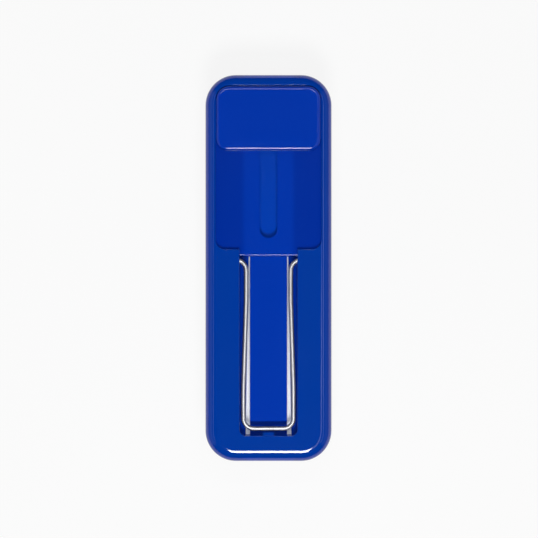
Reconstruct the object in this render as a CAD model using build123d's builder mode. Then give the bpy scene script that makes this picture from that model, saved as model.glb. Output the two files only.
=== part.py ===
"""Chalkboard eraser with a sliding cover and a folding wire bail.

Millimetres, +Z up. The origin is in the middle of the felt's underside, which is Z = 0. +Y points along
the eraser towards the sliding cover. A moulded back holds everything: the cover slides along a track in
it, the bail folds into a trench round a tongue, and a screwed base plate carries the layered felt.
"""

import os

from build123d import *

# ---- Overall ---------------------------------------------------------------------------------------
LENGTH = 153.0  # along Y
WIDTH = 50.0  # along X
CORNER_R = 12.1  # outline's corners, seen from above
SHELL_H = 17.2  # moulded back, from its skirt to its top
RIM_R = 4.4  # rounded rim round the top
WALL = 2.2  # sides and top of the moulded back
INNER_R = 1.5  # between its sides and its top, inside
EDGE_R = 0.25  # moulded edges that a finger meets

# ---- Felt and base ---------------------------------------------------------------------------------
FELT_LAYERS = 9
FELT_H = 11.5  # a layer standing on edge
FELT_GAP = 0.3  # between layers
FELT_BACKING_H = 2.3
FELT_INSET = 1.2  # felt inside the outline
FELT_EDGE_R = 0.6
BASE_H = 2.4  # base plate
BASE_GAP = 0.25  # base plate inside the skirt

# ---- Track of the sliding cover --------------------------------------------------------------------
TRACK_DEPTH = 2.2
TRACK_L = 64.75
TRACK_SIDE = 4.1  # track's side from the outline
TRACK_TOP_MARGIN = 4.35  # track's upper end from the outline
TRACK_TOP_R = 5.5
TRACK_END_R = 3.8
TRACK_FLOOR = 2.0
RAIL_GROOVE_W = 1.0  # undercut each side that holds the cover's tongues
RAIL_GROOVE_H = 1.3
SLOT_W = 6.9
SLOT_MARGIN = 4.5  # slot's lower end from the track's

# ---- Sliding cover ---------------------------------------------------------------------------------
COVER_L = 25.45
COVER_LOWER_R = 4.5
COVER_GAP = 0.3  # inside the track
COVER_PROUD = 0.7  # above the back's top
COVER_EDGE_R = 1.2
COVER_SKIN = 1.4
TONGUE_L = 16.0  # side tongues that run in the rail grooves
TONGUE_H = 1.0
TONGUE_GAP = 0.2
RUN_GAP = 0.1  # under and over a sliding face
NECK_GAP = 0.05  # round the neck, in the slot

# ---- Keeper under the track ------------------------------------------------------------------------
KEEPER_LAP = 3.55  # keeper past the slot, each side
KEEPER_END_LAP = 0.15  # keeper past the neck, along the slot
KEEPER_H = 1.6
KEEPER_GAP = 0.3  # round the keeper, in its channel
KEEPER_SCREW_R = 1.0
KEEPER_SCREW_L = 5.2
KEEPER_HEAD_R = 1.9
KEEPER_RECESS_W = 0.3
KEEPER_RECESS_DEPTH = 0.4
CHANNEL_WALL = 1.2

# ---- Chalk tray ------------------------------------------------------------------------------------
TRAY_W = 34.0  # inside, along X
TRAY_L = 12.0  # inside, along Y
TRAY_R = 2.0
TRAY_WALL = 1.2
TRAY_MARGIN = 2.65  # opening's upper end from the track's
TRAY_GAP = 0.05
TRAY_PLATE_GAP = 0.5  # between the tray and the track plate

# ---- Trench, tongue and catch ----------------------------------------------------------------------
TRENCH_W = 22.9
TRENCH_DEPTH = 7.0
TRENCH_STEP = 2.6  # trench's upper end from the track's lower end
TRENCH_END_MARGIN = 10.2  # trench's lower end from the outline
TRENCH_R = 2.5
TRENCH_LIP_R = 0.5  # edge between the step and the trench
TRENCH_WALL = 1.8
TRENCH_FLOOR = 1.5
ISLAND_W = 14.7
ISLAND_STEP = 0.8  # tongue's top below the track
ISLAND_END_GAP = 5.7  # tongue's free end from the trench's end
ISLAND_SKIN = 1.5
GAP_TOP_W = 0.5  # narrow slots beside the tongue, at the pivot end
GAP_END_W = 1.75  # and at the far end
GAP_MARGIN = 0.2  # from the trench's lower end
CATCH_W = 4.4
CATCH_LIP_L = 1.3
CATCH_LIP_H = 3.1  # above the wire's underside

# ---- Wire bail -------------------------------------------------------------------------------------
WIRE_R = 0.9
WIRE_DEPTH = 2.4  # wire's axis below the back's top
PIVOT_Y_GAP = 1.5  # pivot's axis from the trench's upper end
PIVOT_REACH = 4.15  # wire's ends inside the trench's walls
PIVOT_GAP = 0.05  # round the wire's ends
PIVOT_BEND_R = 4.4
PIVOT_FLARE = 0.6  # hole's mouth wider than the hole, so that the bend can swing in it
LEG_TOP_X = 8.8
LEG_END_X = 9.9
LEG_STRAIGHT = 15.9  # straight length below the pivots, before the legs spread
LEG_END_STRAIGHT = 15.2  # straight length above the cross bar's axis
LEG_BEND_R = 60.0
BAR_GAP = 2.8  # cross bar's axis from the trench's end
BAR_CORNER_R = 4.0
BOSS_SIDE = 3.2  # pivot boss round the wire's axis

# ---- Base screws -----------------------------------------------------------------------------------
SCREW_SIDE = 7.5  # screw's axis from the outline
SCREW_TOP_MARGIN = 30.5  # upper pair's axes from the outline
SCREW_MIDDLE_GAP = 15.3  # middle pair's axes below the pivots
SCREW_END_MARGIN = 10.5  # lower pair's axes from the outline
SCREW_R = 1.45
SCREW_L = 9.5
SCREW_HEAD_R = 2.7
SCREW_SINK = 0.1  # head below the base plate's face
SCREW_GAP = 0.025  # shank in its boss
SCREW_CLEAR = 0.2  # shank in the base plate
BOSS_R = 3.0
RECESS_W = 0.6  # drive recess in a screw's head
RECESS_DEPTH = 0.8

# ---- Heights that follow ---------------------------------------------------------------------------
skirt_z = FELT_H + FELT_BACKING_H
plate_z = skirt_z + BASE_H
top_z = skirt_z + SHELL_H
ceiling_z = top_z - WALL
track_z = top_z - TRACK_DEPTH
track_under_z = track_z - TRACK_FLOOR
trench_z = top_z - TRENCH_DEPTH
trench_under_z = trench_z - TRENCH_FLOOR
island_z = track_z - ISLAND_STEP
wire_z = top_z - WIRE_DEPTH
cover_z = track_z + RUN_GAP
cover_top_z = top_z + COVER_PROUD
keeper_z = track_under_z - RUN_GAP - KEEPER_H
channel_z = keeper_z - RUN_GAP

# ---- Places along Y that follow --------------------------------------------------------------------
track_top_y = LENGTH / 2 - TRACK_TOP_MARGIN
track_end_y = track_top_y - TRACK_L
trench_top_y = track_end_y - TRENCH_STEP
trench_end_y = -LENGTH / 2 + TRENCH_END_MARGIN
island_end_y = trench_end_y + ISLAND_END_GAP
pivot_y = trench_top_y - PIVOT_Y_GAP
bar_y = trench_end_y + BAR_GAP
cover_top_y = track_top_y - COVER_GAP
cover_end_y = cover_top_y - COVER_L
tongue_y = (cover_end_y + cover_top_y) / 2
tray_y = track_top_y - TRAY_MARGIN - TRAY_L / 2
keeper_l = SLOT_W + 2 * KEEPER_END_LAP
channel_top_y = tray_y - TRAY_L / 2 - TRAY_WALL - TRAY_PLATE_GAP
neck_y = channel_top_y - CHANNEL_WALL - KEEPER_GAP - keeper_l / 2
slot_end_y = track_end_y + SLOT_MARGIN
slot_top_y = neck_y + SLOT_W / 2
travel = slot_top_y - slot_end_y - SLOT_W

# ---- Widths that follow ----------------------------------------------------------------------------
track_w = WIDTH - 2 * TRACK_SIDE
cover_w = track_w - 2 * COVER_GAP
tongue_w = track_w + 2 * RAIL_GROOVE_W - 2 * TONGUE_GAP
keeper_w = SLOT_W + 2 * KEEPER_LAP
pivot_r = WIRE_R + PIVOT_GAP
screw_x = WIDTH / 2 - SCREW_SIDE
screw_rows = [LENGTH / 2 - SCREW_TOP_MARGIN, pivot_y - SCREW_MIDDLE_GAP, -LENGTH / 2 + SCREW_END_MARGIN]
screw_points = [(side * screw_x, y) for y in screw_rows for side in (-1, 1)]

os.makedirs("parts", exist_ok=True)


def middle(low, high):
    return (low + high) / 2


# ---- Hollow of the back: track, step and trench, flared to round their upper edges -----------------
with BuildPart() as hollow:
    with BuildSketch(Plane.XY.offset(track_z)) as track:
        with Locations((0, middle(track_end_y, track_top_y))):
            Rectangle(track_w, TRACK_L)
        fillet(track.vertices().group_by(Axis.Y)[-1], TRACK_TOP_R)
        fillet(track.vertices().group_by(Axis.Y)[0], TRACK_END_R)
        with Locations((0, track_end_y)):
            Rectangle(TRENCH_W, 2 * TRENCH_STEP)
    extrude(amount=TRACK_DEPTH)
    with BuildSketch(Plane.XY.offset(trench_z)) as trench:
        with Locations((0, middle(trench_end_y, trench_top_y))):
            Rectangle(TRENCH_W, trench_top_y - trench_end_y)
        fillet(trench.vertices().group_by(Axis.Y)[0], TRENCH_R)
    extrude(amount=TRENCH_DEPTH)
    with BuildSketch(Plane.XY.offset(top_z)):
        Rectangle(WIDTH, LENGTH)
    extrude(amount=COVER_PROUD)
    seat = hollow.faces().filter_by(Plane.XY).sort_by(Axis.Z)[-2]
    fillet(seat.inner_wires().edges(), EDGE_R)
    step = hollow.edges().filter_by(Axis.X).filter_by_position(Axis.Z, track_z, track_z)
    fillet(step.sort_by(Axis.Y)[0], TRENCH_LIP_R)

# ---- Moulded back ----------------------------------------------------------------------------------
with BuildPart() as back_shell:
    # Body with its rounded rim, hollow from below.
    with BuildSketch(Plane.XY.offset(skirt_z)):
        RectangleRounded(WIDTH, LENGTH, CORNER_R)
    extrude(amount=SHELL_H)
    fillet(back_shell.faces().sort_by(Axis.Z)[-1].edges(), RIM_R)
    with BuildSketch(Plane.XY.offset(skirt_z)):
        RectangleRounded(WIDTH - 2 * WALL, LENGTH - 2 * WALL, CORNER_R - WALL)
    extrude(amount=SHELL_H - WALL, mode=Mode.SUBTRACT)
    ceiling = back_shell.faces().filter_by(Plane.XY).sort_by(Axis.Z)[-2]
    fillet(ceiling.edges(), INNER_R)

    # Floor of the track, across the whole body.
    with BuildSketch(Plane.XY.offset(track_under_z)):
        RectangleRounded(WIDTH - WALL, LENGTH - WALL, CORNER_R - WALL / 2)
        with Locations((0, track_end_y - WALL + LENGTH / 2)):
            Rectangle(WIDTH, LENGTH, mode=Mode.INTERSECT)
    extrude(amount=ceiling_z - track_under_z)

    # Box round the trench, bosses for the bail's ends and for the screws.
    with BuildSketch(Plane.XY.offset(trench_under_z)):
        with Locations((0, middle(trench_end_y, trench_top_y))):
            Rectangle(TRENCH_W + 2 * TRENCH_WALL, trench_top_y - trench_end_y + 2 * TRENCH_WALL)
    extrude(amount=ceiling_z - trench_under_z)
    with BuildSketch(Plane.XY.offset(wire_z - BOSS_SIDE)):
        with Locations((0, pivot_y)):
            Rectangle(TRENCH_W + 2 * (PIVOT_REACH + TRENCH_WALL), 2 * BOSS_SIDE)
    extrude(amount=ceiling_z - wire_z + BOSS_SIDE)
    with BuildSketch(Plane.XY.offset(plate_z)):
        with Locations(*screw_points):
            Circle(BOSS_R)
    extrude(amount=ceiling_z - plate_z)

    # Track, step and trench.
    add(hollow.part, mode=Mode.SUBTRACT)

    # Undercuts for the cover's tongues.
    with BuildSketch(Plane.XY.offset(track_z)):
        with Locations((0, tongue_y - travel / 2)):
            Rectangle(track_w + 2 * RAIL_GROOVE_W, TONGUE_L + travel + 2 * TONGUE_GAP)
    extrude(amount=RAIL_GROOVE_H, mode=Mode.SUBTRACT)

    # Slot for the cover's neck, and the mouth of the chalk tray.
    with BuildSketch(Plane.XY.offset(track_under_z)):
        with Locations((0, middle(slot_end_y, slot_top_y))):
            SlotOverall(slot_top_y - slot_end_y, SLOT_W, rotation=90)
        with Locations((0, tray_y)):
            RectangleRounded(TRAY_W, TRAY_L, TRAY_R)
    extrude(amount=TRACK_FLOOR, mode=Mode.SUBTRACT)

    # Tongue in the trench, hollow from below.
    with BuildSketch(Plane.XY.offset(trench_under_z)):
        with Locations((0, middle(island_end_y, trench_top_y))):
            Rectangle(ISLAND_W, trench_top_y - island_end_y)
    extrude(amount=island_z - trench_under_z)
    island_top = back_shell.faces().filter_by(Plane.XY).filter_by_position(Axis.Z, island_z, island_z)
    fillet(island_top.edges().filter_by(Axis.Y), EDGE_R)
    with BuildSketch(Plane.XY.offset(trench_under_z)):
        with Locations((0, middle(island_end_y, trench_top_y))):
            Rectangle(ISLAND_W - 2 * ISLAND_SKIN, trench_top_y - island_end_y - 2 * ISLAND_SKIN)
    extrude(amount=island_z - trench_under_z - ISLAND_SKIN, mode=Mode.SUBTRACT)

    # Narrow slots beside the tongue, wider towards its free end.
    with BuildSketch(Plane.XY.offset(trench_under_z)):
        with BuildLine():
            Polyline(
                (ISLAND_W / 2, trench_top_y - EDGE_R),
                (ISLAND_W / 2 + GAP_TOP_W, trench_top_y - EDGE_R),
                (ISLAND_W / 2 + GAP_END_W, trench_end_y + GAP_MARGIN),
                (ISLAND_W / 2, trench_end_y + GAP_MARGIN),
                close=True,
            )
        make_face()
        mirror(about=Plane.YZ)
    extrude(amount=TRENCH_FLOOR, mode=Mode.SUBTRACT)

    # Catch: a ledge under the wire's cross bar, and a lip beyond it.
    with BuildSketch(Plane.XY.offset(trench_z)):
        with Locations((0, middle(trench_end_y, bar_y + WIRE_R / 2))):
            Rectangle(CATCH_W, bar_y + WIRE_R / 2 - trench_end_y)
    extrude(amount=wire_z - WIRE_R - PIVOT_GAP - trench_z)
    with BuildSketch(Plane.XY.offset(trench_z)):
        with Locations((0, trench_end_y + CATCH_LIP_L / 2)):
            Rectangle(CATCH_W, CATCH_LIP_L)
    extrude(amount=wire_z - WIRE_R + CATCH_LIP_H - trench_z)

    # Blind holes for the bail's ends, and for the screws.
    for side in (-1, 1):
        with BuildSketch(Plane((side * TRENCH_W / 2, pivot_y, wire_z), z_dir=(side, 0, 0))):
            Circle(pivot_r)
        extrude(amount=PIVOT_REACH + RUN_GAP, mode=Mode.SUBTRACT)
        with Locations(Plane((side * TRENCH_W / 2, pivot_y, wire_z), z_dir=(side, 0, 0))):
            Cone(
                pivot_r + PIVOT_FLARE,
                pivot_r,
                LEG_TOP_X + PIVOT_BEND_R - TRENCH_W / 2,
                align=(Align.CENTER, Align.CENTER, Align.MIN),
                mode=Mode.SUBTRACT,
            )
    with BuildSketch(Plane.XY.offset(plate_z)):
        with Locations(*screw_points):
            Circle(SCREW_R + SCREW_GAP)
    extrude(amount=SCREW_L, mode=Mode.SUBTRACT)
back_shell.part.label = "back_shell"
export_step(back_shell.part, "parts/back_shell.step")

# ---- Sliding cover ---------------------------------------------------------------------------------
with BuildPart() as sliding_cover:
    with BuildSketch(Plane.XY.offset(cover_z)) as cover:
        with Locations((0, tongue_y)):
            Rectangle(cover_w, COVER_L)
        fillet(cover.vertices().group_by(Axis.Y)[-1], TRACK_TOP_R - COVER_GAP)
        fillet(cover.vertices().group_by(Axis.Y)[0], COVER_LOWER_R)
    extrude(amount=cover_top_z - cover_z)
    fillet(sliding_cover.faces().sort_by(Axis.Z)[-1].edges(), COVER_EDGE_R)
    with BuildSketch(Plane.XY.offset(cover_z)):
        with Locations((0, tongue_y)):
            Rectangle(tongue_w, TONGUE_L)
    extrude(amount=TONGUE_H)
    with BuildSketch(Plane.XY.offset(track_under_z - RUN_GAP)):
        with Locations((0, neck_y)):
            Circle(SLOT_W / 2 - NECK_GAP)
    extrude(amount=cover_z - track_under_z + RUN_GAP)
    # Hollow over the chalk tray's mouth, and the keeper screw's hole.
    with BuildSketch(Plane.XY.offset(cover_z)):
        with Locations((0, tray_y)):
            RectangleRounded(TRAY_W, TRAY_L, TRAY_R)
    extrude(amount=cover_top_z - cover_z - COVER_SKIN, mode=Mode.SUBTRACT)
    with BuildSketch(Plane.XY.offset(track_under_z - RUN_GAP)):
        with Locations((0, neck_y)):
            Circle(KEEPER_SCREW_R + SCREW_GAP)
    extrude(amount=KEEPER_SCREW_L - KEEPER_H, mode=Mode.SUBTRACT)
sliding_cover.part.label = "sliding_cover"
export_step(sliding_cover.part, "parts/sliding_cover.step")

# ---- Keeper plate and its screw --------------------------------------------------------------------
with BuildPart() as cover_keeper:
    with BuildSketch(Plane.XY.offset(keeper_z)):
        with Locations((0, neck_y)):
            RectangleRounded(keeper_w, keeper_l, EDGE_R)
    extrude(amount=KEEPER_H)
    with Locations(Plane((0, neck_y, keeper_z), z_dir=(0, 0, -1))):
        CounterSinkHole(KEEPER_SCREW_R + SCREW_GAP, KEEPER_HEAD_R)
cover_keeper.part.label = "cover_keeper"
export_step(cover_keeper.part, "parts/cover_keeper.step")


def countersunk_screw(shank_r, head_r, length, recess_w, recess_depth):
    """A countersunk screw's solid, head down with its face at the origin."""
    with BuildPart() as screw:
        with BuildSketch(Plane.XZ):
            with BuildLine():
                Polyline(
                    (0, 0),
                    (head_r, 0),
                    (shank_r, head_r - shank_r),
                    (shank_r, length - shank_r),
                    (0, length),
                    close=True,
                )
            make_face()
        revolve(axis=Axis.Z)
        with BuildSketch():
            Rectangle(2 * shank_r, recess_w)
            Rectangle(recess_w, 2 * shank_r)
        extrude(amount=recess_depth, mode=Mode.SUBTRACT)
    return screw.part


keeper_screw_shape = countersunk_screw(
    KEEPER_SCREW_R, KEEPER_HEAD_R - NECK_GAP, KEEPER_SCREW_L, KEEPER_RECESS_W, KEEPER_RECESS_DEPTH
)
with BuildPart() as keeper_screw:
    with Locations((0, neck_y, keeper_z)):
        add(keeper_screw_shape)
keeper_screw.part.label = "keeper_screw"
export_step(keeper_screw.part, "parts/keeper_screw.step")

# ---- Track plate: the channel under the slot that the keeper runs in -------------------------------
channel_y = neck_y - travel / 2
channel_w = keeper_w + 2 * (KEEPER_GAP + CHANNEL_WALL)
channel_l = keeper_l + travel + 2 * (KEEPER_GAP + CHANNEL_WALL)
with BuildPart() as track_plate:
    with BuildSketch(Plane.XY.offset(channel_z - CHANNEL_WALL)):
        with Locations((0, channel_y)):
            RectangleRounded(channel_w, channel_l, CHANNEL_WALL)
    extrude(amount=track_under_z - channel_z + CHANNEL_WALL)
    with BuildSketch(Plane.XY.offset(channel_z)):
        with Locations((0, channel_y)):
            Rectangle(channel_w - 2 * CHANNEL_WALL, channel_l - 2 * CHANNEL_WALL)
    extrude(amount=track_under_z - channel_z, mode=Mode.SUBTRACT)
track_plate.part.label = "track_plate"
export_step(track_plate.part, "parts/track_plate.step")

# ---- Chalk tray under the cover --------------------------------------------------------------------
with BuildPart() as chalk_tray:
    with BuildSketch(Plane.XY.offset(plate_z)):
        with Locations((0, tray_y)):
            RectangleRounded(TRAY_W + 2 * TRAY_WALL, TRAY_L + 2 * TRAY_WALL, TRAY_R + TRAY_WALL)
    extrude(amount=track_under_z - plate_z - TRAY_GAP)
    with BuildSketch(Plane.XY.offset(plate_z + TRAY_WALL)):
        with Locations((0, tray_y)):
            RectangleRounded(TRAY_W, TRAY_L, TRAY_R)
    extrude(amount=track_under_z - plate_z, mode=Mode.SUBTRACT)
chalk_tray.part.label = "chalk_tray"
export_step(chalk_tray.part, "parts/chalk_tray.step")

# ---- Foam core under the trench --------------------------------------------------------------------
with BuildPart() as foam_core:
    with BuildSketch(Plane.XY.offset(plate_z)):
        with Locations((0, middle(trench_end_y, trench_top_y))):
            Rectangle(TRENCH_W + 2 * TRENCH_WALL, trench_top_y - trench_end_y + 2 * TRENCH_WALL)
    extrude(amount=trench_under_z - RUN_GAP - plate_z)
foam_core.part.label = "foam_core"
export_step(foam_core.part, "parts/foam_core.step")

# ---- Wire bail -------------------------------------------------------------------------------------
end_x = TRENCH_W / 2 + PIVOT_REACH
spread_top_y = pivot_y - LEG_STRAIGHT
spread_end_y = bar_y + LEG_END_STRAIGHT
leg = [
    (end_x, pivot_y),
    (LEG_TOP_X, pivot_y),
    (LEG_TOP_X, spread_top_y),
    (LEG_END_X, spread_end_y),
    (LEG_END_X, bar_y),
]
bends = [PIVOT_BEND_R, LEG_BEND_R, LEG_BEND_R, BAR_CORNER_R]
route = leg + [(-x, y) for x, y in reversed(leg)]
with BuildPart() as wire_bail:
    with BuildLine(Plane.XY.offset(wire_z)) as wire_route:
        FilletPolyline(*route, radius=bends + bends[::-1])
    with BuildSketch(Plane((end_x, pivot_y, wire_z), z_dir=(-1, 0, 0))):
        Circle(WIRE_R)
    sweep(path=wire_route.wires()[0])
wire_bail.part.label = "wire_bail"
export_step(wire_bail.part, "parts/wire_bail.step")

# ---- Base plate and its screws ---------------------------------------------------------------------
base_inset = WALL + BASE_GAP
with BuildPart() as base_plate:
    with BuildSketch(Plane.XY.offset(skirt_z)):
        RectangleRounded(WIDTH - 2 * base_inset, LENGTH - 2 * base_inset, CORNER_R - base_inset)
    extrude(amount=BASE_H)
    with Locations(Plane((0, 0, skirt_z + SCREW_SINK), x_dir=(-1, 0, 0), z_dir=(0, 0, -1))):
        with Locations(*[(-x, y) for x, y in screw_points]):
            CounterSinkHole(SCREW_R + SCREW_CLEAR, SCREW_HEAD_R + SCREW_CLEAR)
base_plate.part.label = "base_plate"
export_step(base_plate.part, "parts/base_plate.step")

base_screw_shape = countersunk_screw(SCREW_R, SCREW_HEAD_R, SCREW_L, RECESS_W, RECESS_DEPTH)
with BuildPart() as base_screws:
    with Locations(*[(x, y, skirt_z + SCREW_SINK) for x, y in screw_points]):
        add(base_screw_shape)
base_screws.part.label = "base_screws"
export_step(base_screws.part, "parts/base_screws.step")

# ---- Felt ------------------------------------------------------------------------------------------
felt_w = WIDTH - 2 * FELT_INSET
felt_l = LENGTH - 2 * FELT_INSET
felt_r = CORNER_R - FELT_INSET
with BuildPart() as felt_backing:
    with BuildSketch(Plane.XY.offset(FELT_H)):
        RectangleRounded(felt_w, felt_l, felt_r)
    extrude(amount=FELT_BACKING_H)
felt_backing.part.label = "felt_backing"
export_step(felt_backing.part, "parts/felt_backing.step")

layer_w = (felt_w - (FELT_LAYERS - 1) * FELT_GAP) / FELT_LAYERS
layer_pitch = layer_w + FELT_GAP
for layer in range(FELT_LAYERS):
    layer_x = (layer - (FELT_LAYERS - 1) / 2) * layer_pitch
    with BuildPart() as felt_strip:
        with BuildSketch():
            RectangleRounded(felt_w, felt_l, felt_r)
            with Locations((layer_x, 0)):
                Rectangle(layer_w, LENGTH, mode=Mode.INTERSECT)
        extrude(amount=FELT_H)
        fillet(felt_strip.faces().sort_by(Axis.Z)[0].edges().filter_by(Axis.Y), FELT_EDGE_R)
    felt_strip.part.label = f"felt_strip_{layer + 1}"
    export_step(felt_strip.part, f"parts/felt_strip_{layer + 1}.step")

print("cover travel", round(travel, 2), "total height", round(cover_top_z, 2))
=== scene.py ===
"""Looks of the chalkboard eraser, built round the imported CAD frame. Metres, +Z up, felt down."""

import math
import random

import bmesh
import bpy
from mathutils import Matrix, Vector, noise


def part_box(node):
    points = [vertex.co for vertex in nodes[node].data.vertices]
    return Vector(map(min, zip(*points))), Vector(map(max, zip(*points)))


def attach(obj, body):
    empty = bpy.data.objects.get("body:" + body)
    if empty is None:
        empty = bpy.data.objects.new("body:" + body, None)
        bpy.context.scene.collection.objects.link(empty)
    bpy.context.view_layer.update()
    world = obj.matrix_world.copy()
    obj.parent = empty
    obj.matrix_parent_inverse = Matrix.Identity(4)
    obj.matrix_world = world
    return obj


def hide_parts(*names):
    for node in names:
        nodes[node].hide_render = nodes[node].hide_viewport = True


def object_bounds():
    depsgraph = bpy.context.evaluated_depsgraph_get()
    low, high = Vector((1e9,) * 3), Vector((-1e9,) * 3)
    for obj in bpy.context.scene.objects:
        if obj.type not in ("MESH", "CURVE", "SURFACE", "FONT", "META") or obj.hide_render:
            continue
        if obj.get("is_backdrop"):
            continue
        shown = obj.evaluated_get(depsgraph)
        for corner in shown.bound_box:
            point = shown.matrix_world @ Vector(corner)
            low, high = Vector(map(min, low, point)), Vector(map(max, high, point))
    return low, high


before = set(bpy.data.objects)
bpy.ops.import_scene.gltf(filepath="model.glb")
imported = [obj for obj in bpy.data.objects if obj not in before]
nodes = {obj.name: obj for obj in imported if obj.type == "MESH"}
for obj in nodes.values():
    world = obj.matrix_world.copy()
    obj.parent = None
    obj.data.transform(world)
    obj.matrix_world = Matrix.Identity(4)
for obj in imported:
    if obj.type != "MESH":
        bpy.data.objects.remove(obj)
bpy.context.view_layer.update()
MM = 0.001

# ---- Places taken from the frame -------------------------------------------------------------------
shell_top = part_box("back_shell")[1].z
backing_low, backing_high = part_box("felt_backing")
foam_low, foam_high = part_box("foam_core")
FELT_LAYERS = sum(name.startswith("felt_strip_") for name in nodes)
layer_boxes = [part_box(f"felt_strip_{n + 1}") for n in range(FELT_LAYERS)]


# ---- Node helpers ----------------------------------------------------------------------------------
class Tree:
    """A material's node tree, with short ways to add nodes and links."""

    def __init__(self, name):
        self.material = bpy.data.materials.new(name)
        self.material.use_nodes = True
        self.nodes = self.material.node_tree.nodes
        self.links = self.material.node_tree.links
        self.shader = self.nodes["Principled BSDF"]
        self.coords = self.nodes.new("ShaderNodeTexCoord").outputs["Object"]

    def link(self, source, target):
        self.links.new(source, target)

    def mapped(self, scale):
        """Object coordinates, scaled per axis."""
        mapping = self.nodes.new("ShaderNodeMapping")
        mapping.inputs["Scale"].default_value = scale
        self.link(self.coords, mapping.inputs["Vector"])
        return mapping.outputs["Vector"]

    def noise(self, scale, detail=4.0, roughness=0.6, vector=None, distortion=0.0):
        node = self.nodes.new("ShaderNodeTexNoise")
        node.inputs["Scale"].default_value = scale
        node.inputs["Detail"].default_value = detail
        node.inputs["Roughness"].default_value = roughness
        node.inputs["Distortion"].default_value = distortion
        self.link(vector or self.coords, node.inputs["Vector"])
        return node.outputs["Fac"]

    def voronoi(self, scale, feature="F1", vector=None):
        node = self.nodes.new("ShaderNodeTexVoronoi")
        node.feature = feature
        node.inputs["Scale"].default_value = scale
        self.link(vector or self.coords, node.inputs["Vector"])
        return node.outputs["Distance"]

    def remap(self, value, low, high, to_low=0.0, to_high=1.0, smooth=False):
        node = self.nodes.new("ShaderNodeMapRange")
        node.interpolation_type = "SMOOTHSTEP" if smooth else "LINEAR"
        node.inputs["From Min"].default_value = low
        node.inputs["From Max"].default_value = high
        node.inputs["To Min"].default_value = to_low
        node.inputs["To Max"].default_value = to_high
        self.link(value, node.inputs["Value"])
        return node.outputs["Result"]

    def math(self, operation, first, second=None):
        node = self.nodes.new("ShaderNodeMath")
        node.operation = operation
        for socket, value in zip(node.inputs, (first, second)):
            if value is None:
                continue
            if isinstance(value, (int, float)):
                socket.default_value = value
            else:
                self.link(value, socket)
        return node.outputs["Value"]

    def mix(self, factor, first, second):
        node = self.nodes.new("ShaderNodeMix")
        node.data_type = "RGBA"
        self.link(factor, node.inputs["Factor"])
        for socket, value in ((node.inputs["A"], first), (node.inputs["B"], second)):
            if isinstance(value, tuple):
                socket.default_value = (*value, 1.0)
            else:
                self.link(value, socket)
        return node.outputs["Result"]

    def axis(self, name):
        node = self.nodes.new("ShaderNodeSeparateXYZ")
        self.link(self.coords, node.inputs["Vector"])
        return node.outputs[name]

    def bump(self, height, strength, distance, normal=None):
        node = self.nodes.new("ShaderNodeBump")
        node.inputs["Strength"].default_value = strength
        node.inputs["Distance"].default_value = distance
        self.link(height, node.inputs["Height"])
        if normal is not None:
            self.link(normal, node.inputs["Normal"])
        return node.outputs["Normal"]

    def finish(self, color=None, roughness=None, normal=None, **fixed):
        for socket, value in (("Base Color", color), ("Roughness", roughness), ("Normal", normal)):
            if value is None:
                continue
            if isinstance(value, tuple):
                self.shader.inputs[socket].default_value = (*value, 1.0)
            elif isinstance(value, float):
                self.shader.inputs[socket].default_value = value
            else:
                self.link(value, self.shader.inputs[socket])
        for name, value in fixed.items():
            self.shader.inputs[name.replace("_", " ")].default_value = value
        return self.material


# ---- Materials -------------------------------------------------------------------------------------
BLUE_TOP = (0.0, 0.036, 0.298)
# A lighter copy of the blue: painted light on the track's middle band and on the cover.
BLUE_PAINTED_LIT = (0.0, 0.032, 0.366)
# A darker copy of the blue: painted shade in the track, also used for the random flow mottle.
BLUE_PAINTED_SHADE_AND_FLOW = (0.0, 0.024, 0.298)
# A lighter copy of the blue for the inner pieces: painted light on the deep groove floor.
BLUE_GROOVE_PAINTED_LIGHT = (0.0, 0.043, 0.400)
GLOSS = 0.05  # least roughness of the blue moulding
INNER_GLOSS = 0.06  # of the pieces inside it
ABS_IOR = 1.53
SHADE_START_Z = 0.8 * MM  # below the back's top: the painted shade of the recessed floors starts here
SHADE_FULL_Z = 1.6 * MM  # and the painted shade is full from here down
LIT_BAND_X = 8.6 * MM  # half width of the track's painted lighter band
LIT_BAND_END_X = 11.2 * MM  # where it has faded out
WIRE_GREY = (0.58, 0.58, 0.59)
WIRE_PALE = (0.70, 0.70, 0.71)
WIRE_SPECK = (0.25, 0.23, 0.22)
FELT_DARK = (0.30, 0.295, 0.28)
FELT_LIGHT = (0.56, 0.55, 0.52)
BACKING_DARK = (0.07, 0.072, 0.078)
BACKING_LIGHT = (0.14, 0.143, 0.15)
FELT_SHEEN = 0.35
BACKING_SHEEN = 0.25
FOAM_TINT = (0.72, 0.84, 1.0, 1.0)  # of the light that the foam gives off
FOAM_GLOW = 0.09  # and its strength


def plastic_surface(tree, color, base_roughness):
    """Glossy moulded ABS: faint orange peel, very fine scuffs and a little unevenness in gloss."""
    peel = tree.noise(900.0, detail=2.0)
    scuffs = tree.noise(60.0, detail=6.0, vector=tree.mapped((1.0, 14.0, 1.0)), distortion=0.6)
    cloud = tree.noise(35.0, detail=3.0)
    roughness = tree.math(
        "ADD",
        tree.remap(cloud, 0.3, 0.7, base_roughness, base_roughness + 0.03),
        tree.remap(scuffs, 0.62, 0.8, 0.0, 0.06),
    )
    normal = tree.bump(peel, 0.12, 0.02 * MM)
    return tree.finish(color, roughness, normal, IOR=ABS_IOR)


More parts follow.
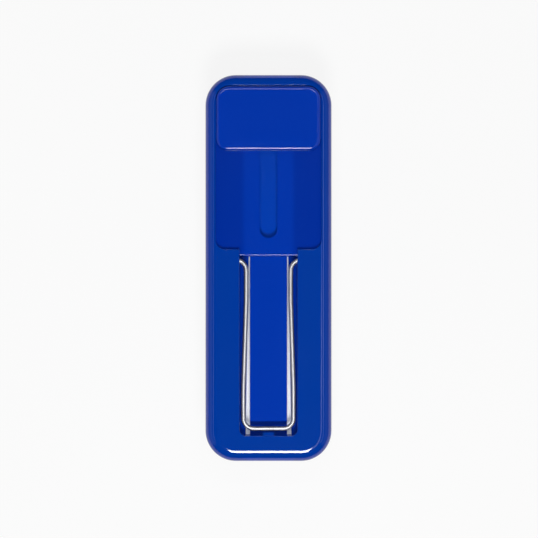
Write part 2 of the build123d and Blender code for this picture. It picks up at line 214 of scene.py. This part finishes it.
def shell_material():
    """The back: the plateau, the track's floor darkened as painted shade and a painted lighter band down the
    middle.
    """
    tree = Tree("blue_shell")
    height = tree.axis("Z")
    across = tree.math("ABSOLUTE", tree.axis("X"))
    # Painted shade: everything well below the top gets a darker blue.
    track_shade_mask = tree.remap(height, shell_top - SHADE_FULL_Z, shell_top - SHADE_START_Z, 1.0, 0.0, smooth=True)
    # Painted light: a lighter blue in a band down the middle of the track.
    middle = tree.remap(across, LIT_BAND_X, LIT_BAND_END_X, 1.0, 0.0, smooth=True)
    low = tree.mix(middle, BLUE_PAINTED_SHADE_AND_FLOW, BLUE_PAINTED_LIT)
    tone = tree.mix(track_shade_mask, BLUE_TOP, low)
    flow = tree.noise(16.0, detail=2.0, vector=tree.mapped((1.0, 0.35, 1.0)))
    tone = tree.mix(tree.remap(flow, 0.35, 0.75, 0.0, 0.12), tone, BLUE_PAINTED_SHADE_AND_FLOW)
    return plastic_surface(tree, tone, GLOSS)


def blue_material(name, color, base_roughness=GLOSS):
    tree = Tree(name)
    flow = tree.noise(20.0, detail=2.0)
    tone = tree.mix(tree.remap(flow, 0.35, 0.75, 0.0, 0.12), color, BLUE_PAINTED_SHADE_AND_FLOW)
    return plastic_surface(tree, tone, base_roughness)


def wire_material():
    """Drawn spring wire with satin nickel: fine lines along its legs and a few dark specks."""
    tree = Tree("bail_wire")
    lines = tree.noise(900.0, detail=3.0, vector=tree.mapped((1.0, 0.06, 1.0)))
    specks = tree.voronoi(420.0)
    tone = tree.mix(tree.remap(lines, 0.3, 0.7), WIRE_GREY, WIRE_PALE)
    dark = tree.remap(specks, 0.06, 0.14, 1.0, 0.0)
    tone = tree.mix(tree.math("MULTIPLY", dark, 0.35), tone, WIRE_SPECK)
    roughness = tree.remap(lines, 0.3, 0.7, 0.46, 0.56)
    normal = tree.bump(lines, 0.25, 0.02 * MM)
    return tree.finish(tone, roughness, normal, Metallic=1.0)


def steel_material():
    tree = Tree("screw_steel")
    grain = tree.noise(1500.0, detail=3.0)
    tone = tree.mix(tree.remap(grain, 0.3, 0.7), (0.50, 0.50, 0.48), (0.66, 0.66, 0.63))
    normal = tree.bump(grain, 0.2, 0.02 * MM)
    return tree.finish(tone, tree.remap(grain, 0.3, 0.7, 0.25, 0.4), normal, Metallic=1.0)


def matt_plastic(name, dark, light):
    """Fine-textured moulding, spark-eroded finish."""
    tree = Tree(name)
    grain = tree.voronoi(1400.0)
    cloud = tree.noise(40.0, detail=3.0)
    tone = tree.mix(tree.remap(cloud, 0.3, 0.7), dark, light)
    normal = tree.bump(grain, 0.35, 0.05 * MM)
    return tree.finish(tone, tree.remap(cloud, 0.3, 0.7, 0.5, 0.62), normal)


def felt_material(name, dark, light, sheen):
    """Pressed wool: tangled fibres, mottled tone, and a soft sheen."""
    tree = Tree(name)
    drawn = tree.mapped((1.0, 0.45, 1.0))
    fibres = tree.noise(1100.0, detail=8.0, roughness=0.75, vector=drawn, distortion=1.4)
    mottle = tree.noise(260.0, detail=5.0, roughness=0.65)
    cloud = tree.noise(45.0, detail=2.0)
    tone = tree.mix(tree.remap(fibres, 0.35, 0.68), dark, light)
    tone = tree.mix(tree.remap(mottle, 0.5, 0.75, 0.0, 0.35), tone, dark)
    tone = tree.mix(tree.remap(cloud, 0.4, 0.7, 0.0, 0.15), tone, light)
    coarse = tree.bump(mottle, 0.5, 0.25 * MM)
    normal = tree.bump(fibres, 0.8, 0.12 * MM, coarse)
    return tree.finish(tone, 0.95, normal, Sheen_Weight=sheen, Sheen_Roughness=0.45)


def foam_material():
    """White closed-cell foam: small round cells."""
    tree = Tree("foam")
    cells = tree.voronoi(1600.0)
    cloud = tree.noise(120.0, detail=3.0)
    tone = tree.mix(tree.remap(cells, 0.1, 0.5), (0.93, 0.94, 0.95), (0.86, 0.87, 0.89))
    normal = tree.bump(cells, 0.4, 0.08 * MM)
    roughness = tree.remap(cloud, 0.3, 0.7, 0.75, 0.9)
    # It gives off a little light, so that it looks bright at the bottom of the slots.
    return tree.finish(tone, roughness, normal, Emission_Color=FOAM_TINT, Emission_Strength=FOAM_GLOW)


def dress(name, material):
    """Gives a CAD node its material."""
    piece = nodes[name]
    piece.data.materials.clear()
    piece.data.materials.append(material)


def dress_cad_nodes():
    # The track plate and tray get the lighter blue: painted light on the deep groove floor.
    lit_inner_blue = blue_material("blue_inner", BLUE_GROOVE_PAINTED_LIGHT, INNER_GLOSS)
    steel = steel_material()
    dress("back_shell", shell_material())
    # The cover gets the lighter copy of the blue: painted light.
    dress("sliding_cover", blue_material("blue_cover", BLUE_PAINTED_LIT))
    dress("track_plate", lit_inner_blue)
    dress("chalk_tray", lit_inner_blue)
    dress("cover_keeper", matt_plastic("keeper_plastic", (0.60, 0.61, 0.60), (0.74, 0.75, 0.74)))
    dress("keeper_screw", steel)
    dress("base_screws", steel)
    dress("base_plate", matt_plastic("base_plastic", (0.012, 0.013, 0.016), (0.02, 0.022, 0.026)))
    dress("wire_bail", wire_material())


# ---- Felt ------------------------------------------------------------------------------------------
FELT_R = 10.9 * MM  # plan radius of the pad's corners
STATION = 1.2 * MM  # spacing of a layer's cross-sections
EDGE_R = 0.9 * MM  # worn lower edges of a layer
EDGE_WEAR = 0.6  # share of the edge radius that is worn off
WAVE = 0.22 * MM  # how far a layer's free edge waves
# The fluff comes from noise_vector with no seed set, so it differs a little from run to run.
FLUFF = 0.10 * MM  # unevenness of the felt's surface
FINE_FLUFF = 0.05 * MM
END_FLUFF = 0.12 * MM  # unevenness along Y, and of the backing's cut edge
FUZZ_COUNT = 5200
FUZZ_R = 0.016 * MM  # of a fibre at its root
FUZZ_IN = 0.1 * MM  # fibres start this far inside the felt
FUZZ_LIFT = 0.3 * MM  # lowest start of a fibre on a side, above the felt's underside
pad_half_x = backing_high.x
pad_half_y = backing_high.y


def reach_y(x):
    """How far the pad's outline goes along Y at this X."""
    past = abs(x) - (pad_half_x - FELT_R)
    if past <= 0:
        return pad_half_y
    return pad_half_y - FELT_R + math.sqrt(max(FELT_R**2 - past**2, 0.0))


def new_object(name, mesh, material):
    piece = bpy.data.objects.new(name, mesh)
    bpy.context.scene.collection.objects.link(piece)
    mesh.materials.append(material)
    for face in mesh.polygons:
        face.use_smooth = True
    return piece


def grid_box(counts, place):
    """A closed box of grids: counts divisions a side, each point of the unit cube sent through place."""
    mesh = bmesh.new()
    made = {}

    def vertex(point):
        if point not in made:
            made[point] = mesh.verts.new(place(*(p / c for p, c in zip(point, counts))))
        return made[point]

    for axis in range(3):
        u, v = (axis + 1) % 3, (axis + 2) % 3
        for side in (0, counts[axis]):
            for i in range(counts[u]):
                for j in range(counts[v]):
                    corners = []
                    for di, dj in ((0, 0), (1, 0), (1, 1), (0, 1)):
                        point = [0, 0, 0]
                        point[axis], point[u], point[v] = side, i + di, j + dj
                        corners.append(vertex(tuple(point)))
                    mesh.faces.new(corners if side else corners[::-1])
    data = bpy.data.meshes.new("grid")
    mesh.to_mesh(data)
    mesh.free()
    return data


def felt_layer(index, low, high, material):
    """One standing layer of felt, a little wavy, with soft worn lower edges."""
    width, height = high.x - low.x, high.z - low.z
    shift = Vector((index * 7.3, index * 3.1, 0.0))

    def place(u, v, w):
        x = low.x + u * width
        z = low.z + w * height
        # Round the lower edges, by drawing points near the bottom in from the layer's faces.
        down = max(0.0, 1.0 - (z - low.z) / EDGE_R)
        inset = EDGE_R * (1.0 - math.sqrt(max(1.0 - down**2, 0.0)))
        x += (0.5 - u) * 2.0 * inset * EDGE_WEAR
        y = (2.0 * v - 1.0) * (reach_y(x) - EDGE_WEAR * inset)
        point = Vector((x, y, z))
        wave = noise.noise(Vector((index * 5.0, y / (14 * MM), z / (9 * MM))))
        fluff = noise.noise_vector(point / (1.7 * MM) + shift)
        fine = noise.noise_vector(point / (0.6 * MM) + shift)
        free = 1.0 - w
        x += wave * WAVE * free + fluff.x * FLUFF + fine.x * FINE_FLUFF
        y += fluff.y * END_FLUFF
        z += (fluff.z * FLUFF + fine.z * FINE_FLUFF) * (1.0 if w < 0.98 else 0.0)
        return (x, y, max(z, low.z))

    stations = round((high.y - low.y) / STATION)
    data = grid_box((6, stations, 12), place)
    layer = new_object(f"felt_layer_{index + 1}", data, material)
    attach(layer, "back")
    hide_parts(f"felt_strip_{index + 1}")


def felt_backing(material):
    """The felt sheet that carries the layers, rounded in plan with a soft cut edge."""

    def place(u, v, w):
        x = (2.0 * u - 1.0) * pad_half_x
        y = (2.0 * v - 1.0) * reach_y(x)
        z = backing_low.z + w * (backing_high.z - backing_low.z)
        fluff = noise.noise_vector(Vector((x, y, z)) / (1.5 * MM))
        edge = 0.0 if w in (0.0, 1.0) else 1.0
        return (x + fluff.x * END_FLUFF * edge, y + fluff.y * END_FLUFF * edge, z)

    data = grid_box((40, 110, 4), place)
    sheet = new_object("felt_back_sheet", data, material)
    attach(sheet, "back")
    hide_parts("felt_backing")


def fibre_start(rng, low_z, high_z):
    """A point on the felt where a loose fibre starts, and the way it points."""
    side = rng.random()
    if side < 0.55:  # long sides and corners
        y = rng.uniform(-1, 1) * (pad_half_y - 0.5 * MM)
        sign = rng.choice((-1, 1))
        past = abs(y) - (pad_half_y - FELT_R)
        x = pad_half_x
        out = Vector((sign, 0, 0))
        if past > 0:
            x += math.sqrt(max(FELT_R**2 - past**2, 0.0)) - FELT_R
            out = Vector((sign * (x - pad_half_x + FELT_R), math.copysign(past, y), 0))
        start = Vector((sign * (x - FUZZ_IN), y, rng.uniform(low_z + FUZZ_LIFT, high_z)))
    elif side < 0.75:  # ends
        x = rng.uniform(-1, 1) * (pad_half_x - FELT_R)
        sign = rng.choice((-1, 1))
        start = Vector((x, sign * (pad_half_y - FUZZ_IN), rng.uniform(low_z + FUZZ_LIFT, high_z)))
        out = Vector((0, sign, 0))
    else:  # lower face
        x = rng.uniform(-1, 1) * (pad_half_x - 1.5 * MM)
        start = Vector((x, rng.uniform(-0.96, 0.96) * reach_y(x), low_z + rng.uniform(0.15, 0.5) * MM))
        out = Vector((rng.uniform(-1, 1), rng.uniform(-1, 1), 0.1))
    return start, out.normalized()


def add_fibre(mesh, rng, start, out, low_z):
    """One thin tapering fibre of three sides, bending off its first direction."""
    length = rng.uniform(0.5, 1.5) * MM
    drift = Vector((rng.uniform(-1, 1), rng.uniform(-1, 1), rng.uniform(-1, 1)))
    rings = []
    for k in range(4):
        t = k / 3
        centre = start + out * length * t * 0.45 + drift * length * 0.5 * t * t
        centre.z = max(centre.z, low_z + 0.02 * MM)
        radius = FUZZ_R * (1.0 - 0.7 * t)
        side_a = out.orthogonal().normalized() * radius
        side_b = out.cross(side_a).normalized() * radius
        corners = [side_a * math.cos(angle) + side_b * math.sin(angle) for angle in (0, 2.1, 4.2)]
        rings.append([mesh.verts.new(centre + corner) for corner in corners])
    for first, second in zip(rings, rings[1:]):
        for k in range(3):
            mesh.faces.new((first[k], first[(k + 1) % 3], second[(k + 1) % 3], second[k]))
    mesh.faces.new(rings[0][::-1])
    mesh.faces.new(rings[-1])


def fuzz(material):
    """Loose fibre ends that stand off the felt's sides and lower face."""
    rng = random.Random(11)
    mesh = bmesh.new()
    low_z, high_z = layer_boxes[0][0].z, layer_boxes[0][1].z
    for _ in range(FUZZ_COUNT):
        start, out = fibre_start(rng, low_z, high_z)
        add_fibre(mesh, rng, start, out, low_z)
    data = bpy.data.meshes.new("fuzz")
    mesh.to_mesh(data)
    mesh.free()
    piece = new_object("felt_fuzz", data, material)
    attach(piece, "back")


def foam_core(material):
    """The foam block under the trench, its upper face slightly uneven."""

    def place(u, v, w):
        x = foam_low.x + u * (foam_high.x - foam_low.x)
        y = foam_low.y + v * (foam_high.y - foam_low.y)
        z = foam_low.z + w * (foam_high.z - foam_low.z)
        rough = noise.noise(Vector((x, y, z)) / (1.2 * MM)) * 0.08 * MM
        return (x, y, z - abs(rough) * (1.0 if w == 1.0 else 0.0))

    data = grid_box((26, 70, 6), place)
    block = new_object("foam_block", data, material)
    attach(block, "back")
    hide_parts("foam_core")


# ---- Stage, lights and camera ----------------------------------------------------------------------
FLOOR_HALF = 2.5
PHOTO_WIDTH = 213.1 * MM  # what the picture spans at the outline's height
CAMERA_DISTANCE = 1.25
OUTLINE_DROP = 3.4 * MM  # the outline's height below the back's top
FLOOR_DROP = 0.02 * MM  # floor below the felt
FLOOR_GREY = (0.075, 0.075, 0.075)
FLOOR_PALE = (0.085, 0.085, 0.085)
WHITE = (1.0, 1.0, 1.0, 1.0)
FLOOR_GLOW = 0.86


def floor():
    """A floor whose brightness is mostly light of its own, so that the shadow on it stays faint."""
    floor_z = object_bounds()[0].z - FLOOR_DROP
    bpy.ops.mesh.primitive_plane_add(size=2 * FLOOR_HALF, location=(0, 0, floor_z))
    plane = bpy.context.object
    plane.name = "floor"
    tree = Tree("floor")
    tone = tree.noise(3.0, detail=2.0)
    tree.finish(
        tree.mix(tree.remap(tone, 0.3, 0.7), FLOOR_GREY, FLOOR_PALE),
        0.9,
        Emission_Color=WHITE,
        Emission_Strength=FLOOR_GLOW,
    )
    plane.data.materials.append(tree.material)
    plane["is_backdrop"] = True


def area_light(name, azimuth, from_zenith, side, rise, radiance, distance=1.1, mirrored=True):
    """A rectangular light aimed at the eraser, side wide and rise high. Azimuth 0 is +X and 90 is +Y.

    A light that isn't mirrored brightens surfaces but doesn't show in their gloss.
    """
    turn, tilt = math.radians(azimuth), math.radians(from_zenith)
    away = Vector((math.sin(tilt) * math.cos(turn), math.sin(tilt) * math.sin(turn), math.cos(tilt)))
    light = bpy.data.lights.new(name, "AREA")
    light.shape = "RECTANGLE"
    light.size, light.size_y = rise, side
    light.energy = radiance * math.pi * side * rise
    holder = bpy.data.objects.new(name, light)
    holder.location = Vector((0.0, 0.0, shell_top)) + away * distance
    holder.rotation_euler = (0.0, tilt, turn)
    holder.visible_glossy = mirrored
    holder.visible_camera = False
    bpy.context.scene.collection.objects.link(holder)


def lights():
    """A bright window low on the picture, soft fill from overhead and behind, and dim strips and cards."""
    area_light("overhead", 0, 0, 0.6, 0.6, 5.5, distance=1.6, mirrored=False)
    area_light("back_fill", 90, 60, 0.9, 0.9, 1.2, distance=1.6, mirrored=False)
    area_light("key", -87, 24, 0.28, 0.26, 34.5)
    area_light("near_back", 90, 17, 0.5, 0.12, 8.5)
    area_light("near_right", 0, 13, 0.9, 0.045, 3.0)
    area_light("right_strip", 0, 32, 0.9, 0.07, 2.0)
    area_light("left_strip", 180, 34, 0.9, 0.07, 1.2)
    area_light("left_card", 180, 66, 1.5, 0.75, 0.32)
    area_light("right_card", 0, 66, 1.5, 0.75, 0.2)
    world = bpy.data.worlds.new("studio")
    world.use_nodes = True
    world.node_tree.nodes["Background"].inputs["Color"].default_value = (0.9, 0.93, 1.0, 1.0)
    world.node_tree.nodes["Background"].inputs["Strength"].default_value = 0.012
    bpy.context.scene.world = world


def camera():
    data = bpy.data.cameras.new("camera")
    data.sensor_width = 36.0
    data.lens = 36.0 * CAMERA_DISTANCE / PHOTO_WIDTH
    holder = bpy.data.objects.new("camera", data)
    outline_z = shell_top - OUTLINE_DROP
    holder.location = (0.2 * MM, -0.4 * MM, outline_z + CAMERA_DISTANCE)
    holder.rotation_euler = (0.0, 0.0, 0.0)
    bpy.context.scene.collection.objects.link(holder)
    bpy.context.scene.camera = holder
    bpy.context.scene.view_settings.view_transform = "Standard"


# ---- Build -----------------------------------------------------------------------------------------
dress_cad_nodes()
felt = felt_material("felt", FELT_DARK, FELT_LIGHT, FELT_SHEEN)
for number, (low, high) in enumerate(layer_boxes):
    felt_layer(number, low, high, felt)
felt_backing(felt_material("felt_backing", BACKING_DARK, BACKING_LIGHT, BACKING_SHEEN))
fuzz(felt)
foam_core(foam_material())
floor()
lights()
camera()
